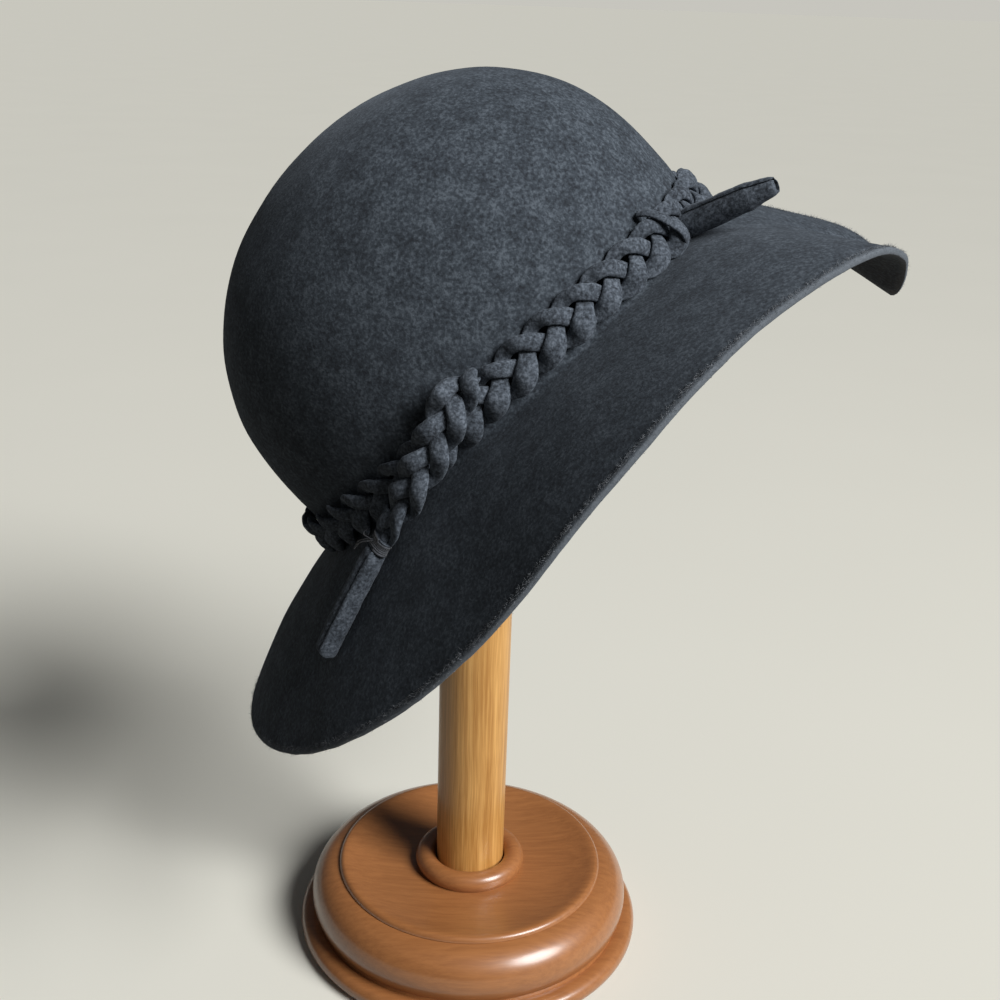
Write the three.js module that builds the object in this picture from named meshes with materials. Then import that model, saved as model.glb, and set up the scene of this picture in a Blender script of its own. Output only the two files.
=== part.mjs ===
// Open-crown felt fedora with a braided felt band, resting tilted on a turned wooden hat stand.
// Millimetres, +Z up. The origin is the middle of the base's underside, on the post's axis.
// The hat has its own frame: +X to its front, +Y to the wearer's left, Z = 0 where crown and brim meet.
import * as THREE from 'three';
import { ParametricGeometry } from 'three/addons/geometries/ParametricGeometry.js';
import { mergeVertices } from 'three/addons/utils/BufferGeometryUtils.js';

const deg = THREE.MathUtils.degToRad;

// Felt body
const feltThickness = 2.5;
const crownLength = 204;          // outside, front to back, where it meets the brim
const crownWidth = 163.5;
const uprightHeight = 22.5;       // upright wall that the band lies on
const domeHeight = 101.5;         // from the upright wall to the top
const domeFullness = 2.45;        // 2 is an ellipse, more is squarer at the shoulder
const domeBulge = 1.0;            // how far the dome's foot swells past the crown's foot
const domeLean = 2.7;             // the top sits this far forward
const footFillet = 4;             // round corner between crown and brim
const brimReach = 82;             // along the felt, where the table's share is 1

// The brim round the hat. azimuth is 0 at the front and positive to the wearer's left. drop is its
// mean angle below level, reach its share of brimReach, curl the share of the drop kept for the edge.
const brimTable = [
  { azimuth: -180, drop: 18, reach: 1.10, curl: 0.50 },
  { azimuth: -140, drop: 30, reach: 1.06, curl: 0.30 },
  { azimuth: -105, drop: 32, reach: 0.95, curl: 0.15 },
  { azimuth: -75, drop: 22.5, reach: 0.843, curl: 0.15 },
  { azimuth: -50, drop: 23, reach: 0.80, curl: 0.20 },
  { azimuth: -30, drop: 31, reach: 0.92, curl: 0.44 },
  { azimuth: -15, drop: 47, reach: 0.96, curl: 0.42 },
  { azimuth: 0, drop: 63.5, reach: 1.02, curl: 0.90 },
  { azimuth: 15, drop: 51.5, reach: 0.94, curl: 0.54 },
  { azimuth: 30, drop: 38.5, reach: 0.83, curl: 0.33 },
  { azimuth: 50, drop: 15, reach: 0.80, curl: 0.20 },
  { azimuth: 75, drop: 24, reach: 0.86, curl: 0.15 },
  { azimuth: 105, drop: 35, reach: 0.99, curl: 0.15 },
  { azimuth: 140, drop: 22, reach: 1.03, curl: 0.30 },
  { azimuth: 180, drop: 18, reach: 1.10, curl: 0.50 },
];

// Braided band, tail and rolls
const seatGap = 0.55;             // between the crown's wall and the band
const tailGap = 1.1;              // between the band's outside and the tail
const bandStrip = { width: 6.4, thickness: 1.4 };
const bandSpread = 6.2;           // how far a strip swings up and down from the band's middle
const bandLift = 1.9;             // how far it swings in and out
const bandHeight = 9.5;           // the band's middle above the brim
const bandRise = { height: 4, azimuth: -74 };   // where the tail pulls it up
const bandPitch = 41;             // along the band, one full swing of a strip
const tailStrip = { width: 6.0, thickness: 2.0 };
const tailSpread = 5.4;
const tailLift = 2.1;
const tailPitch = 44;
const rearRoll = { width: 12, thickness: 10.5, wall: 2.4, top: 3 };
const frontRoll = { azimuth: -23, height: 3, heading: -20, droop: 14.5, length: 31.6,
  rootClear: 0.9, rootWidth: 14, rootThickness: 12, width: 7.5, thickness: 7, wall: 1.8, top: 18 };

// The tail's way: down over the band's outside, then over the brim to the end of the rear roll.
// azimuth is round the hat, height above the brim's foot, out the share of the brim's reach and
// ride the middle's distance off the felt.
const tailOnBand = [
  { azimuth: -89, height: 19.2 },
  { azimuth: -94.6, height: 14.5 },
  { azimuth: -100.5, height: 9.8 },
];
const tailOnBrim = [
  { azimuth: -106, out: 0.105, ride: 11.3 },
  { azimuth: -112.5, out: 0.14, ride: 8 },
  { azimuth: -118, out: 0.20, ride: 6.2 },
  { azimuth: -122.5, out: 0.26, ride: 5.6 },
  { azimuth: -128, out: 0.388, ride: 5.45 },
  { azimuth: -135.6, out: 0.61, ride: 5.5 },
];
const tailLength = 60.5;          // the braided stretch
const bindingLength = 5.5;
const bindingSize = { width: 14.5, thickness: 8 };

// How the hat sits
const hatTilt = 44.8;             // front up
const hatRoll = -1.1;             // wearer's right side up
const hatTurn = -5.5;             // front toward -Y
const restPoint = { x: 2.8, y: 5.4 };   // the crown's highest inside point, from the post's axis
const restGap = 0.4;              // straight up, between the stand's head and the crown

// Stand
const standHeight = 393;
const postDiameter = 32;
const fitGap = 0.3;               // round the post in its sockets
const footRadius = 81;
const footThickness = 9;
const grooveRadius = 73;          // where the bead meets the foot
const beadRadius = 75.5;
const beadTop = 33;
const rimRadius = 60;             // the ridge round the dished top
const rimHeight = 35.5;
const rimRound = 2.5;
const beadWidth = 15;             // radial size of the bead's round
const dishHeight = 31;
const collarRadius = 26;
const collarHeight = 8;
const baseSocket = 18;            // depth of the post's socket in the base
const headRadius = 26;
const headHeight = 28;
const headLip = 2;                // straight stretch under the head's dome
const headSocket = 16;

const felt = new THREE.MeshStandardMaterial({ color: '#3d4046', roughness: 0.97, metalness: 0 });
const stripFelt = new THREE.MeshStandardMaterial({ color: '#565860', roughness: 0.96, metalness: 0 });
const thread = new THREE.MeshStandardMaterial({ color: '#6a6870', roughness: 0.9, metalness: 0 });
const baseWood = new THREE.MeshStandardMaterial({ color: '#9a6236', roughness: 0.32, metalness: 0 });
const postWood = new THREE.MeshStandardMaterial({ color: '#c0935a', roughness: 0.45, metalness: 0 });

// A closed surface over a grid. The first way turns once round and the second runs from end to end,
// where the rows shrink to a point or meet. Points that fall together are welded.
function closedSurface(place, around, along) {
  const grid = new ParametricGeometry((u, v, target) => target.copy(place(u, v)), around, along);
  grid.deleteAttribute('normal');
  grid.deleteAttribute('uv');
  const welded = mergeVertices(grid, 1e-4);
  const index = welded.getIndex();
  const kept = [];
  for (let i = 0; i < index.count; i += 3) {
    const [a, b, c] = [index.getX(i), index.getX(i + 1), index.getX(i + 2)];
    if (a !== b && b !== c && c !== a) kept.push(a, b, c);
  }
  welded.setIndex(kept);
  welded.computeVertexNormals();
  return welded;
}

// Smooth periodic value of one column of the brim table.
function brimColumn(name) {
  const curve = new THREE.CubicInterpolant(
    brimTable.map((row) => row.azimuth), brimTable.map((row) => row[name]), 1);
  curve.settings = { endingStart: THREE.WrapAroundEnding, endingEnd: THREE.WrapAroundEnding };
  return (azimuth) => curve.evaluate(THREE.MathUtils.euclideanModulo(azimuth + 180, 360) - 180)[0];
}
const brimDrop = brimColumn('drop');
const brimShare = brimColumn('reach');
const brimCurl = brimColumn('curl');

// A point on the crown's foot and the direction straight out of it, at an azimuth in degrees.
function crownFoot(azimuth, out = 0) {
  const angle = deg(azimuth);
  const a = crownLength / 2;
  const b = crownWidth / 2;
  const outward = new THREE.Vector3(b * Math.cos(angle), a * Math.sin(angle), 0).normalize();
  const foot = new THREE.Vector3(a * Math.cos(angle), b * Math.sin(angle), 0);
  return foot.addScaledVector(outward, out);
}

// Outside of the brim: out is 0 at the crown and 1 at the edge.
function brimPoint(azimuth, out) {
  const drop = deg(brimDrop(azimuth));
  const reach = brimReach * brimShare(azimuth);
  const curl = brimCurl(azimuth);
  const point = crownFoot(azimuth, reach * Math.cos(drop) * out);
  point.z = -reach * Math.sin(drop) * out * (1 - curl + curl * out);
  return point;
}

// Outside of the crown, at a height in millimetres above its foot.
function crownPoint(azimuth, height) {
  const rise = Math.max(0, height - uprightHeight) / domeHeight;
  const swell = 1 + (2 * domeBulge / crownWidth) * Math.min(1, height / uprightHeight);
  const size = swell * Math.sqrt(Math.max(0, 1 - rise ** domeFullness));
  const point = crownFoot(azimuth).multiplyScalar(size);
  point.x += domeLean * height / (uprightHeight + domeHeight);
  point.z = height;
  return point;
}

// Direction straight off the brim's upper face.
function offBrim(azimuth, out) {
  const here = brimPoint(azimuth, out);
  const round = brimPoint(azimuth + 0.5, out).sub(here);
  const outward = brimPoint(azimuth, out + 0.01).sub(here);
  return outward.cross(round).normalize();
}

// The felt's outside from the top of the crown, down, through the fillet and out to the brim's edge.
const crownTop = uprightHeight + domeHeight;
const crownRows = 8;
const brimRows = [0.2, 0.4, 0.6, 0.8, 1];
const feltRows = [];
for (let row = 0; row <= crownRows; row += 1) {
  const rise = Math.cos((row / crownRows) * Math.PI / 2);
  feltRows.push((azimuth) => crownPoint(azimuth, uprightHeight + domeHeight * rise));
}
feltRows.push((azimuth) => crownPoint(azimuth, footFillet));
feltRows.push((azimuth) => {
  const above = crownPoint(azimuth, footFillet);
  const corner = crownFoot(azimuth);
  const beside = brimPoint(azimuth, footFillet / brimReach);
  return above.add(beside).addScaledVector(corner, 2).multiplyScalar(0.25);
});
feltRows.push((azimuth) => brimPoint(azimuth, footFillet / brimReach));
for (const out of brimRows) feltRows.push((azimuth) => brimPoint(azimuth, out));

// Inside of the felt, one thickness in from the outside, row by row.
function feltInside(azimuth, row) {
  const here = feltRows[row](azimuth);
  if (row === 0) return here.setZ(here.z - feltThickness);
  const up = feltRows[row - 1](azimuth);
  const down = feltRows[Math.min(row + 1, feltRows.length - 1)](azimuth);
  const round = feltRows[row](azimuth + 0.5).sub(here);
  const off = down.sub(up).cross(round).normalize();
  return here.addScaledVector(off, -feltThickness);
}

const feltAround = 60;
const lastRow = feltRows.length - 1;
const feltBody = closedSurface((u, v) => {
  const azimuth = -360 * u;
  const row = Math.round(v * (2 * lastRow + 1));
  return row <= lastRow ? feltRows[row](azimuth) : feltInside(azimuth, 2 * lastRow + 1 - row);
}, feltAround, 2 * lastRow + 1);

// A flat oval section of a strip, across and off the surface that it lies on.
function stripSection(centre, across, off, width, thickness, turn) {
  return centre.clone()
    .addScaledVector(across, 0.5 * width * Math.cos(turn))
    .addScaledVector(off, 0.5 * thickness * Math.sin(turn));
}

// One strip of a three-strip braid. route gives the braid's middle, its side and its off direction.
// Where lift is positive, a strip lies on top as it swings outward along the route.
function braidStrip({ route, swings, phase, spread, lift, strip, closed, steps, sides }) {
  const centre = (u) => {
    const { middle, side, off } = route(u);
    const swing = 2 * Math.PI * (swings * u + phase / 3);
    return middle.clone()
      .addScaledVector(side, spread * Math.sin(swing))
      .addScaledVector(off, lift * Math.sin(2 * swing));
  };
  return closedSurface((v, u) => {
    const ahead = centre(closed ? u + 1e-3 : Math.min(1, u + 1e-3));
    const behind = centre(closed ? u - 1e-3 : Math.max(0, u - 1e-3));
    const along = ahead.sub(behind).normalize();
    const off = route(u).off.clone();
    off.addScaledVector(along, -off.dot(along)).normalize();
    const across = off.clone().cross(along);
    const size = closed || (u > 0 && u < 1) ? 1 : 0;
    const { width, thickness } = strip;
    return stripSection(centre(u), across, off, size * width, size * thickness, 2 * Math.PI * v);
  }, sides, steps);
}

// The band's middle runs round the crown, clear of the wall.
const bandOut = seatGap + bandLift + bandStrip.thickness / 2 + domeBulge;
const bandCurve = new THREE.EllipseCurve(0, 0, crownLength / 2 + bandOut, crownWidth / 2 + bandOut);
bandCurve.arcLengthDivisions = 800;
function bandRoute(u) {
  const turn = THREE.MathUtils.euclideanModulo(u, 1);
  const at = bandCurve.getPointAt(turn);
  const along = bandCurve.getTangentAt(turn);
  const angle = Math.atan2(at.y / crownWidth, at.x / crownLength) - deg(bandRise.azimuth);
  const rise = bandRise.height * Math.max(0, Math.cos(angle)) ** 8;
  return {
    middle: new THREE.Vector3(at.x, at.y, bandHeight + rise),
    side: new THREE.Vector3(0, 0, 1),
    off: new THREE.Vector3(along.y, -along.x, 0),
  };
}
const bandSwings = Math.round(bandCurve.getLength() / bandPitch);
const bandStrips = [0, 1, 2].map((phase) => braidStrip({
  route: bandRoute, swings: bandSwings, phase, spread: bandSpread, lift: -bandLift, strip: bandStrip,
  closed: true, steps: 7 * bandSwings, sides: 6,
}));

// The tail's line leaves the band's outside and ends with the rear roll.
const bandFace = bandOut + bandLift + bandStrip.thickness / 2;
const tailOut = bandFace + tailGap + tailLift + tailStrip.thickness / 2;
const tailLine = new THREE.CatmullRomCurve3([
  ...tailOnBand.map(({ azimuth, height }) => crownFoot(azimuth, tailOut).setZ(height)),
  ...tailOnBrim.map(({ azimuth, out, ride }) =>
    brimPoint(azimuth, out).addScaledVector(offBrim(azimuth, out), ride)),
]);
tailLine.arcLengthDivisions = 400;
const tailWhole = tailLine.getLength();

// Middle, side and off directions at a length along the tail's line. The off direction turns from
// straight out of the band to straight off the brim.
function tailAt(length) {
  const u = Math.min(1, length / tailWhole);
  const middle = tailLine.getPointAt(u);
  const along = tailLine.getTangentAt(u);
  const azimuth = THREE.MathUtils.radToDeg(Math.atan2(middle.y / crownWidth, middle.x / crownLength));
  const offBand = crownFoot(azimuth, 1).sub(crownFoot(azimuth));
  const turned = THREE.MathUtils.smoothstep(length, 0.3 * tailLength, tailLength);
  const off = offBand.lerp(offBrim(azimuth, 0.3), turned);
  off.addScaledVector(along, -off.dot(along)).normalize();
  return { middle, side: off.clone().cross(along), off };
}
const tailStrips = [0, 1, 2].map((phase) => braidStrip({
  route: (u) => tailAt(u * tailLength), swings: tailLength / tailPitch, phase, spread: tailSpread,
  lift: tailLift, strip: tailStrip, closed: false, steps: 24, sides: 6,
}));

// A body of flat oval sections along a line. Each row has a length along it and a section.
function ovalBody(at, rows, sides) {
  return closedSurface((u, v) => {
    const { length, width, thickness } = rows[Math.round(v * (rows.length - 1))];
    const { middle, side, off } = at(length);
    return stripSection(middle, side, off, width, thickness, 2 * Math.PI * u);
  }, sides, rows.length - 1);
}

const bindingStart = tailLength + fitGap;
const bindingEnd = bindingStart + bindingLength;
const bindingFace = { width: 0.85 * bindingSize.width, thickness: 0.8 * bindingSize.thickness };
const binding = ovalBody(tailAt, [
  { length: bindingStart, width: 0, thickness: 0 },
  { length: bindingStart, ...bindingFace },
  { length: bindingStart + 0.2 * bindingLength, ...bindingSize },
  { length: bindingStart + 0.8 * bindingLength, ...bindingSize },
  { length: bindingEnd, ...bindingFace },
  { length: bindingEnd, width: 0, thickness: 0 },
], 12);

// Rows of a rolled strip: closed at its start, open at its end.
function rollRows(start, end, { width, thickness, wall, top }, root = { width, thickness }) {
  const bore = { width: width - 2 * wall, thickness: thickness - 2 * wall };
  const rows = [{ length: start, width: 0, thickness: 0 }];
  const stations = 4;
  for (let i = 0; i <= stations; i += 1) {
    const share = i / stations;
    rows.push({
      length: THREE.MathUtils.lerp(start, end, share),
      width: THREE.MathUtils.lerp(root.width, width, share),
      thickness: THREE.MathUtils.lerp(root.thickness, thickness, share),
    });
  }
  for (let i = stations; i >= 0; i -= 1) {
    rows.push({ length: THREE.MathUtils.lerp(start + top, end, i / stations), ...bore });
  }
  rows.push({ length: start + top, width: 0, thickness: 0 });
  return rows;
}
const rearRollBody = ovalBody(tailAt,
  rollRows(bindingEnd + fitGap, tailWhole, rearRoll), 10);

// The front roll sticks straight out of the band's outside, over the brim.
const frontHeading = deg(frontRoll.heading);
const frontDroop = deg(frontRoll.droop);
const frontAlong = new THREE.Vector3(
  Math.cos(frontDroop) * Math.cos(frontHeading),
  Math.cos(frontDroop) * Math.sin(frontHeading),
  -Math.sin(frontDroop));
const frontSide = new THREE.Vector3(-Math.sin(frontHeading), Math.cos(frontHeading), 0);
const frontRoot = crownFoot(frontRoll.azimuth, bandFace + frontRoll.rootClear).setZ(frontRoll.height);
const frontAt = (length) => ({
  middle: frontRoot.clone().addScaledVector(frontAlong, length),
  side: frontSide.clone().negate(),
  off: frontSide.clone().negate().cross(frontAlong).negate(),
});
const frontRollBody = ovalBody(frontAt, rollRows(0, frontRoll.length, frontRoll,
  { width: frontRoll.rootWidth, thickness: frontRoll.rootThickness }), 10);

const standSides = 32;
// A turned body from a profile of (radius, height) pairs that starts and ends on the axis.
const turned = (profile, sides = standSides) => new THREE.LatheGeometry(
  profile.map(([radius, height]) => new THREE.Vector2(radius, height)), sides).rotateX(Math.PI / 2);
// Points on a round stretch of a profile, from one angle to another in degrees.
const round = (radius, height, size, from, to, steps) => Array.from({ length: steps + 1 }, (_, i) => {
  const angle = deg(THREE.MathUtils.lerp(from, to, i / steps));
  return [radius + size * Math.cos(angle), height + size * Math.sin(angle)];
});

const socketRadius = postDiameter / 2 + fitGap;
const beadRise = beadTop - footThickness;
const collarRound = (collarRadius - socketRadius) / 2;
const standBase = turned([
  [0, 0],
  [footRadius - 3, 0],
  ...round(footRadius - footThickness / 2, footThickness / 2, footThickness / 2, -60, 75, 4),
  [grooveRadius, footThickness],
  ...Array.from({ length: 6 }, (_, i) => {
    const angle = deg(THREE.MathUtils.lerp(-35, 90, i / 5));
    return [
      beadRadius - beadWidth + beadWidth * Math.cos(angle),
      footThickness + 0.4 * beadRise + 0.6 * beadRise * Math.sin(angle),
    ];
  }),
  ...round(rimRadius, rimHeight - rimRound, rimRound, 40, 180, 3),
  [rimRadius - rimRound, dishHeight],
  [collarRadius, dishHeight],
  ...round(socketRadius + collarRound, dishHeight + collarHeight - collarRound, collarRound, 0, 180, 4),
  [socketRadius, baseSocket],
  [0, baseSocket],
]);
const postBottom = baseSocket + fitGap;
const postTop = standHeight - headHeight + headSocket - fitGap;
const standPost = turned([
  [0, postBottom],
  [postDiameter / 2, postBottom],
  [postDiameter / 2, postTop],
  [0, postTop],
], 24);
const headBottom = standHeight - headHeight;
const standHead = turned([
  [0, headBottom + headSocket],
  [socketRadius, headBottom + headSocket],
  [socketRadius, headBottom],
  [headRadius - 3, headBottom],
  ...Array.from({ length: 7 }, (_, i) => {
    const angle = deg(THREE.MathUtils.lerp(0, 90, i / 6));
    const rise = (headHeight - headLip) * Math.sin(angle);
    return [headRadius * Math.cos(angle), headBottom + headLip + rise];
  }),
], 24);

const pieces = [];
function piece(name, geometry, material) {
  const mesh = new THREE.Mesh(geometry, material);
  mesh.name = name;
  pieces.push(mesh);
  return mesh;
}

const hat = new THREE.Group();
const feltMesh = piece('felt_body', feltBody, felt);
hat.add(feltMesh);
bandStrips.forEach((geometry, i) => hat.add(piece(`band_strand_${i + 1}`, geometry, stripFelt)));
tailStrips.forEach((geometry, i) => hat.add(piece(`tail_strand_${i + 1}`, geometry, stripFelt)));
hat.add(piece('tail_binding', binding, thread));
hat.add(piece('rear_roll', rearRollBody, stripFelt));
hat.add(piece('front_roll', frontRollBody, stripFelt));

hat.rotation.set(deg(hatRoll), -deg(hatTilt), deg(hatTurn), 'ZYX');
let highest = new THREE.Vector3(0, 0, -Infinity);
for (let row = 0; row <= crownRows; row += 1) {
  for (let step = 0; step < feltAround; step += 1) {
    const inside = feltInside(-360 * step / feltAround, row).applyEuler(hat.rotation);
    if (inside.z > highest.z) highest = inside;
  }
}

// The hat comes straight down over the post until its crown is restGap above the stand's head.
hat.position.set(restPoint.x - highest.x, restPoint.y - highest.y, standHeight);
hat.updateMatrixWorld(true);
const headPoints = standHead.getAttribute('position');
let drop = Infinity;
for (let i = 0; i < headPoints.count; i += 1) {
  const point = new THREE.Vector3().fromBufferAttribute(headPoints, i);
  if (point.z < headBottom + headLip) continue;
  const above = new THREE.Raycaster(point, new THREE.Vector3(0, 0, 1));
  for (const { distance } of above.intersectObject(feltMesh)) drop = Math.min(drop, distance);
}
hat.position.z -= drop - restGap;

const model = new THREE.Group();
model.add(hat);
model.add(piece('stand_base', standBase, baseWood));
model.add(piece('stand_post', standPost, postWood));
model.add(piece('stand_top', standHead, baseWood));
export default model;
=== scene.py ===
"""Open-crown felt hat with a braided felt band, tilted on a turned wooden hat stand.

Metres, +Z up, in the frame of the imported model. The hat's own frame has +X to its front, +Y to the
wearer's left and Z = 0 where the crown meets the brim. An azimuth is an angle round the hat from
its front, positive to the wearer's left.
"""
import math
import random

import bpy
import numpy as np
from bpy.props import FloatProperty, FloatVectorProperty, IntProperty, PointerProperty
from mathutils import Euler, Matrix, Vector, kdtree, noise


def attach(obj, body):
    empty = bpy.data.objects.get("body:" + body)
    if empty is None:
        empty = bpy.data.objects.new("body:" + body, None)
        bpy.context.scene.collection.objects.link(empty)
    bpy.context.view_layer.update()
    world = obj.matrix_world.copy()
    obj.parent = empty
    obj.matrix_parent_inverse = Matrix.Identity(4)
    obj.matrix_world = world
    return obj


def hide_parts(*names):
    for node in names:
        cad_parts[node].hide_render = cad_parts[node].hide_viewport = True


bl_info = {
    "name": "Felt Hat on a Stand",
    "version": (1, 0, 0),
    "blender": (4, 5, 0),
    "location": "View3D > Sidebar > Felt Hat",
    "description": "Models a felt hat with a braided band on a turned wooden stand",
    "category": "Add Mesh",
}

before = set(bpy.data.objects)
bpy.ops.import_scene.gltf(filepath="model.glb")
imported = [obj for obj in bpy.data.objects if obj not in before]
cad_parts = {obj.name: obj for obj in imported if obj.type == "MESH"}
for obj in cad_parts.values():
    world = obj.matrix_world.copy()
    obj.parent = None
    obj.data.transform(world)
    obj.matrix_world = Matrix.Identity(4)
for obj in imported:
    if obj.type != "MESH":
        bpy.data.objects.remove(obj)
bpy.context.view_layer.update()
MM = 0.001

# The brim round the hat: azimuth, mean drop below level in degrees, share of the brim's reach, and
# the share of the drop kept for the edge.
BRIM_ROUND = (
    (-180, 18, 1.10, 0.50),
    (-140, 30, 1.06, 0.30),
    (-105, 32, 0.95, 0.15),
    (-75, 22.5, 0.843, 0.15),
    (-50, 23, 0.80, 0.20),
    (-30, 31, 0.92, 0.44),
    (-15, 47, 0.96, 0.42),
    (0, 63.5, 1.02, 0.90),
    (15, 51.5, 0.94, 0.54),
    (30, 38.5, 0.83, 0.33),
    (50, 15, 0.80, 0.20),
    (75, 24, 0.86, 0.15),
    (105, 35, 0.99, 0.15),
    (140, 22, 1.03, 0.30),
    (180, 18, 1.10, 0.50),
)
# The tail's way: azimuth, distance off the crown's foot and height behind the band, then azimuth,
# height and depth below its full stand-off on the band, then azimuth, share of the brim's reach and
# height off the felt.
TAIL_TUCK = ((-84, 2.0, 20.0), (-87, 5.0, 20.5))
TAIL_ON_BAND = ((-89.5, 18.8, 3.0), (-94.6, 14.5, 0.5), (-100.5, 9.8, 0.0))
TAIL_ON_BRIM = (
    (-106, 0.105, 11.3),
    (-112.5, 0.14, 8.0),
    (-118, 0.20, 6.2),
    (-122.5, 0.26, 5.6),
    (-128, 0.388, 5.45),
    (-135.6, 0.61, 5.5),
)
# The two loose ends of the binding thread from its knot, in millimetres: to the side, along the tail
# and off it. The second comes back as a loop.
THREAD_ENDS = (
    ((0, 0, -0.3), (-3, 1, 1.2), (-7, 2.5, 0.4), (-10.5, 2, -1.5)),
    ((0.5, 0, -0.3), (-3, 4, 1.6), (-6, 9, 1), (-8.5, 10.5, -0.6), (-8, 7.5, 0.2), (-4, 3, 0.6),
     (0, -0.5, -0.3)),
)
# The wrap's way over the band beside the front roll: azimuth, share of the band's stand-off and
# millimetres beyond it, and millimetres above the band's middle.
WRAP_WAY = (
    (-33.5, 0.4, 0.0, 12.0),
    (-33.0, 1.0, 0.0, 9.5),
    (-32.0, 1.0, 2.4, 4.0),
    (-30.5, 1.0, 2.4, -4.0),
    (-29.5, 1.0, -0.5, -8.0),
)
FIT_GAP = 0.3 * MM                # between the post and its sockets


def linear(code):
    """An sRGB hex colour as linear red, green, blue and alpha."""
    parts = [int(code[i:i + 2], 16) / 255 for i in (1, 3, 5)]
    return [c / 12.92 if c <= 0.04045 else ((c + 0.055) / 1.055) ** 2.4 for c in parts] + [1.0]


def length_of(name, description, default):
    return FloatProperty(name=name, description=description, default=default * MM, unit="LENGTH")


def angle_of(name, description, default):
    return FloatProperty(name=name, description=description, default=math.radians(default),
                         unit="ROTATION")


def colour_of(name, description, code):
    return FloatVectorProperty(name=name, description=description, size=4, subtype="COLOR",
                               default=linear(code), min=0, max=1)


class FeltHatFelt(bpy.types.PropertyGroup):
    thickness: length_of("Felt", "Thickness of the wool felt", 2.5)
    crown_length: length_of("Crown length", "Outside of the crown at its foot, front to back", 204)
    crown_width: length_of("Crown width", "Outside of the crown at its foot, side to side", 163.5)
    upright: length_of("Upright wall", "Height of the wall that the band lies on", 22.5)
    dome: length_of("Dome height", "From the upright wall to the top of the crown", 101.5)
    fullness: FloatProperty(name="Dome fullness", description="2 is an ellipse, more is squarer",
                            default=2.45)
    bulge: length_of("Dome bulge", "How far the dome swells past the crown's foot", 1.0)
    lean: length_of("Dome lean", "How far forward the crown's top sits", 2.7)
    fillet: length_of("Break", "Rounding between crown and brim", 4)
    reach: length_of("Brim reach", "Length of the brim along the felt, at a share of 1", 82)
    edge_round: length_of("Edge rounding", "Softening of the raw-cut brim edge", 0.7)
    unevenness: length_of("Unevenness", "Height of the soft hand-blocked unevenness", 0.7)
    place: FloatVectorProperty(name="Place", description="Where the hat's own origin sits",
                               size=3, subtype="TRANSLATION", default=(0.01217, 0.00272, 0.27302))
    tilt: angle_of("Tilt", "How far the front is raised", 44.8)
    roll: angle_of("Roll", "How far the wearer's right side is raised", -1.1)
    turn: angle_of("Turn", "How far the front turns left", -5.5)


class FeltHatBraid(bpy.types.PropertyGroup):
    band_width: length_of("Band strip width", "Width of a strip in the band", 6.5)
    band_thickness: length_of("Band strip thickness", "A band strip pressed flat", 1.4)
    band_spread: length_of("Band spread", "How far a strip swings up and down", 6.2)
    band_lift: length_of("Band lift", "How far a strip swings in and out", 1.9)
    band_height: length_of("Band height", "The band's middle above the brim", 8.4)
    rise: length_of("Band rise", "How far the band climbs where its ends meet", 4.0)
    rise_at: angle_of("Rise azimuth", "Where the band climbs highest", -74)
    band_swings: IntProperty(name="Band swings", description="Full swings of a strip round the hat",
                             default=15)
    seat: length_of("Seat", "Space between the crown's wall and the band", 0.55)
    puff: FloatProperty(name="Puff", description="How much thicker a strip is where it shows",
                        default=1.4)
    tail_gap: length_of("Tail gap", "Space between the band and the tail", 1.1)
    tail_width: length_of("Tail strip width", "Width of a strip in the tail", 6.6)
    tail_thickness: length_of("Tail strip thickness", "A tail strip pressed flat", 2.0)
    tail_spread: length_of("Tail spread", "How far a tail strip swings from side to side", 5.4)
    tail_lift: length_of("Tail lift", "How far a tail strip swings up and down", 2.1)
    tail_pitch: length_of("Tail pitch", "Length of one full swing in the tail", 44)
    tail_length: length_of("Tail length", "Length of the braided tail", 60.5)


class FeltHatRolls(bpy.types.PropertyGroup):
    binding_length: length_of("Binding length", "Length of the thread binding", 5.5)
    binding_width: length_of("Binding width", "Width of the bound strips", 12.6)
    binding_height: length_of("Binding height", "Height of the bound strips", 7.4)
    thread: length_of("Thread", "Thickness of the binding thread", 0.85)
    turns: IntProperty(name="Thread turns", description="Turns of thread in the binding", default=6)
    rear_width: length_of("Rear roll width", "Width of the roll on the brim", 12)
    rear_height: length_of("Rear roll height", "Height of the roll on the brim", 10.5)
    wall: length_of("Rolled felt", "Thickness of the strip in the rear roll", 1.5)
    front_azimuth: angle_of("Front roll azimuth", "Where the front roll leaves the band", -23)
    front_heading: angle_of("Front roll heading", "Which way the front roll points", -20)
    front_height: length_of("Front roll height", "Its root above the brim", 3)
    front_droop: angle_of("Front roll droop", "How far it points below level", 14.5)
    front_length: length_of("Front roll length", "How far it sticks out", 31.6)
    front_root_width: length_of("Front root width", "Its width at the band", 14)
    front_root_height: length_of("Front root height", "Its height at the band", 12)
    front_end: length_of("Front roll end", "Its size at the open end", 7.2)
    front_wall: length_of("Front rolled felt", "Thickness of the strip in the front roll", 1.1)


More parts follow.
